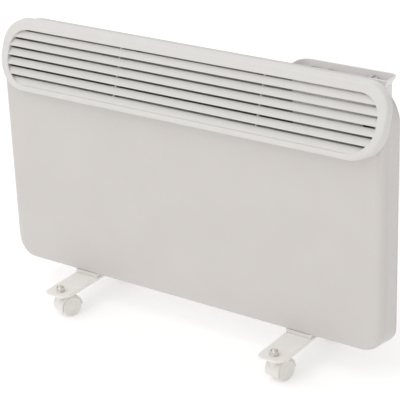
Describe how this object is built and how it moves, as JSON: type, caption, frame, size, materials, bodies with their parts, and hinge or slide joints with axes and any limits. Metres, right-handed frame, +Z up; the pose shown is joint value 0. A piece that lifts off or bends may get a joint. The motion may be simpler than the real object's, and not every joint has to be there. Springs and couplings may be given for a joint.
{
  "type": "panel convector heater",
  "caption": "Free-standing panel convector heater: slim rounded casing, tilted outlet grille along the top, rear control pod, and two foot bars on swivelling twin-wheel castors.",
  "frame": {"origin": "on the floor under the middle of the heater", "axes": "+X to the right of someone facing the heater's front, -Y out of its front, +Z up"},
  "size_m": [0.75, 0.23, 0.495],
  "materials": {
    "casing_paint": "warm white powder coat, satin, very fine texture",
    "foot_paint": "warm white powder coat, satin",
    "grille_moulding": "warm white moulding, satin",
    "pod_moulding": "warm white moulding, satin",
    "fascia_moulding": "light grey, fine texture",
    "spacer_moulding": "warm white moulding",
    "dark_moulding": "dark grey, satin",
    "control_white": "white, soft gloss",
    "castor_plastic": "warm white nylon, satin",
    "zinc_plate": "zinc plated, bright",
    "steel": "plain ground steel",
    "bright_sheet": "bright reflector sheet",
    "fin_aluminium": "pressed fins, satin",
    "ceramic": "unglazed steatite",
    "amber_lens": "translucent amber",
    "lead_sleeve": "braided heat-proof sleeve"
  },
  "bodies": {
    "heater": {"front_casing": "casing_paint", "outlet_grille": "grille_moulding", "rear_panel": "casing_paint", "rear_screw_1": "zinc_plate", "rear_screw_2": "zinc_plate", "rear_screw_3": "zinc_plate", "rear_screw_4": "zinc_plate", "heating_element": "fin_aluminium", "element_bracket_left": "steel", "element_bracket_right": "steel", "element_bush_left": "ceramic", "element_bush_right": "ceramic", "compartment_baffle": "bright_sheet", "thermal_cutout": "dark_moulding", "element_lead": "lead_sleeve", "pod_housing": "pod_moulding", "pod_collar": "pod_moulding", "control_fascia": "fascia_moulding", "switch_body_left": "fascia_moulding", "switch_body_right": "fascia_moulding", "neon_lens": "amber_lens", "thermostat_body": "dark_moulding", "terminal_block": "ceramic", "cable_gland": "dark_moulding", "foot_left": "foot_paint", "foot_right": "foot_paint", "foot_spacer_left": "spacer_moulding", "foot_spacer_right": "spacer_moulding", "foot_screw_left_1": "zinc_plate", "foot_screw_left_2": "zinc_plate", "foot_screw_right_1": "zinc_plate", "foot_screw_right_2": "zinc_plate", "castor_front_left_stud": "zinc_plate", "castor_front_left_nut": "zinc_plate", "castor_rear_left_stud": "zinc_plate", "castor_rear_left_nut": "zinc_plate", "castor_front_right_stud": "zinc_plate", "castor_front_right_nut": "zinc_plate", "castor_rear_right_stud": "zinc_plate", "castor_rear_right_nut": "zinc_plate"},
    "knob": {"thermostat_knob": "control_white", "thermostat_shaft": "steel"},
    "rocker_left": {"switch_rocker_left": "control_white"},
    "rocker_right": {"switch_rocker_right": "control_white"},
    "castor_front_left": {"castor_front_left_hood": "castor_plastic", "castor_front_left_axle": "steel"},
    "castor_front_left_wheel_a": {"castor_front_left_wheel_left": "castor_plastic"},
    "castor_front_left_wheel_b": {"castor_front_left_wheel_right": "castor_plastic"},
    "castor_rear_left": {"castor_rear_left_hood": "castor_plastic", "castor_rear_left_axle": "steel"},
    "castor_rear_left_wheel_a": {"castor_rear_left_wheel_left": "castor_plastic"},
    "castor_rear_left_wheel_b": {"castor_rear_left_wheel_right": "castor_plastic"},
    "castor_front_right": {"castor_front_right_hood": "castor_plastic", "castor_front_right_axle": "steel"},
    "castor_front_right_wheel_a": {"castor_front_right_wheel_left": "castor_plastic"},
    "castor_front_right_wheel_b": {"castor_front_right_wheel_right": "castor_plastic"},
    "castor_rear_right": {"castor_rear_right_hood": "castor_plastic", "castor_rear_right_axle": "steel"},
    "castor_rear_right_wheel_a": {"castor_rear_right_wheel_left": "castor_plastic"},
    "castor_rear_right_wheel_b": {"castor_rear_right_wheel_right": "castor_plastic"}
  },
  "joints": [
    {"name": "knob_turn", "type": "hinge", "parent": "heater", "child": "knob", "pos_m": [0.31, 0.04417, 0.4834], "axis": [0, 0, -1], "range_deg": [0, 270]},
    {"name": "rocker_left_tip", "type": "hinge", "parent": "heater", "child": "rocker_left", "pos_m": [0.208, 0.04417, 0.47965], "axis": [1, 0, 0], "range_deg": [0, 14]},
    {"name": "rocker_right_tip", "type": "hinge", "parent": "heater", "child": "rocker_right", "pos_m": [0.238, 0.04417, 0.47965], "axis": [1, 0, 0], "range_deg": [0, 14]},
    {"name": "castor_front_left_swivel", "type": "hinge", "parent": "heater", "child": "castor_front_left", "pos_m": [-0.219, -0.096, 0.04], "axis": [0, 0, 1], "continuous": true},
    {"name": "castor_front_left_roll_a", "type": "hinge", "parent": "castor_front_left", "child": "castor_front_left_wheel_a", "pos_m": [-0.21416, -0.0834, 0.018], "axis": [0.9336, -0.3584, 0], "continuous": true},
    {"name": "castor_front_left_roll_b", "type": "hinge", "parent": "castor_front_left", "child": "castor_front_left_wheel_b", "pos_m": [-0.21416, -0.0834, 0.018], "axis": [0.9336, -0.3584, 0], "continuous": true},
    {"name": "castor_rear_left_swivel", "type": "hinge", "parent": "heater", "child": "castor_rear_left", "pos_m": [-0.219, 0.096, 0.04], "axis": [0, 0, 1], "continuous": true},
    {"name": "castor_rear_left_roll_a", "type": "hinge", "parent": "castor_rear_left", "child": "castor_rear_left_wheel_a", "pos_m": [-0.21416, 0.0834, 0.018], "axis": [0.9336, 0.3584, 0], "continuous": true},
    {"name": "castor_rear_left_roll_b", "type": "hinge", "parent": "castor_rear_left", "child": "castor_rear_left_wheel_b", "pos_m": [-0.21416, 0.0834, 0.018], "axis": [0.9336, 0.3584, 0], "continuous": true},
    {"name": "castor_front_right_swivel", "type": "hinge", "parent": "heater", "child": "castor_front_right", "pos_m": [0.219, -0.096, 0.04], "axis": [0, 0, 1], "continuous": true},
    {"name": "castor_front_right_roll_a", "type": "hinge", "parent": "castor_front_right", "child": "castor_front_right_wheel_a", "pos_m": [0.22181, -0.08279, 0.018], "axis": [0.9781, -0.2079, 0], "continuous": true},
    {"name": "castor_front_right_roll_b", "type": "hinge", "parent": "castor_front_right", "child": "castor_front_right_wheel_b", "pos_m": [0.22181, -0.08279, 0.018], "axis": [0.9781, -0.2079, 0], "continuous": true},
    {"name": "castor_rear_right_swivel", "type": "hinge", "parent": "heater", "child": "castor_rear_right", "pos_m": [0.219, 0.096, 0.04], "axis": [0, 0, 1], "continuous": true},
    {"name": "castor_rear_right_roll_a", "type": "hinge", "parent": "castor_rear_right", "child": "castor_rear_right_wheel_a", "pos_m": [0.22181, 0.08279, 0.018], "axis": [0.9781, 0.2079, 0], "continuous": true},
    {"name": "castor_rear_right_roll_b", "type": "hinge", "parent": "castor_rear_right", "child": "castor_rear_right_wheel_b", "pos_m": [0.22181, 0.08279, 0.018], "axis": [0.9781, 0.2079, 0], "continuous": true}
  ]
}
